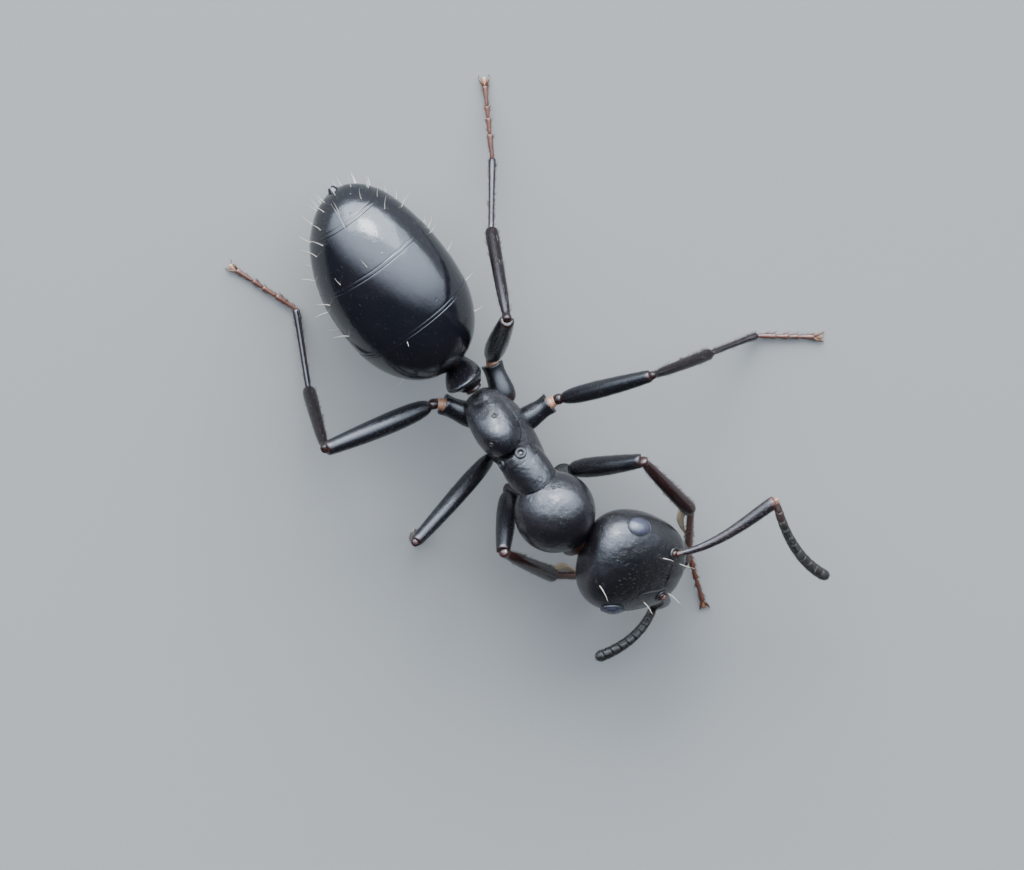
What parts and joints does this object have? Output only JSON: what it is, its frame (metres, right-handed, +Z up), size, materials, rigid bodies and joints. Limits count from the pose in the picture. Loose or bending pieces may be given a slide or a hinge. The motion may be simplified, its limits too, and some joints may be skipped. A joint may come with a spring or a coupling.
{
  "type": "carpenter ant",
  "caption": "Still, life-size model of a black carpenter ant worker: turned head, feelers out, narrow waist, glossy gaster and reddish feet, standing with raised knees.",
  "frame": {"origin": "on the ground under the middle of the ant's footprint, feet flats on z = 0", "axes": "+Z up; the body lies along Y with the head towards -Y and the gaster towards +Y; +X is the ant's left"},
  "size_m": [0.0088, 0.0114, 0.0035],
  "materials": {
    "shell": "glossy black shell with a fine net-like relief",
    "eye": "dark blue-grey faceted lens",
    "jaw": "blackish brown, reddish at the biting edge",
    "feeler": "dull, finely haired, browner at the base of each segment",
    "shin": "dark reddish brown, slightly see-through, orange at the joints",
    "foot": "orange-brown, bristly"
  },
  "bodies": {
    "root": {"pronotum": "shell", "mesonotum": "shell", "propodeum": "shell", "petiole": "shell", "gaster_1": "shell", "gaster_2": "shell", "gaster_3": "shell", "gaster_4": "shell", "head": "shell", "eye_left": "eye", "eye_right": "eye", "mandible_left": "jaw", "mandible_right": "jaw", "scape_left": "shell", "funiculus_left": "feeler", "scape_right": "shell", "funiculus_right": "feeler", "coxa_left_front": "shell", "femur_left_front": "shell", "tibia_left_front": "shin", "basitarsus_left_front": "foot", "tarsus_left_front": "foot", "coxa_right_front": "shell", "femur_right_front": "shell", "tibia_right_front": "shin", "basitarsus_right_front": "foot", "tarsus_right_front": "foot", "coxa_left_middle": "shell", "femur_left_middle": "shell", "tibia_left_middle": "shin", "basitarsus_left_middle": "foot", "tarsus_left_middle": "foot", "coxa_right_middle": "shell", "femur_right_middle": "shell", "tibia_right_middle": "shin", "basitarsus_right_middle": "foot", "tarsus_right_middle": "foot", "coxa_left_hind": "shell", "femur_left_hind": "shell", "tibia_left_hind": "shin", "basitarsus_left_hind": "foot", "tarsus_left_hind": "foot", "coxa_right_hind": "shell", "femur_right_hind": "shell", "tibia_right_hind": "shin", "basitarsus_right_hind": "foot", "tarsus_right_hind": "foot"}
  },
  "joints": []
}
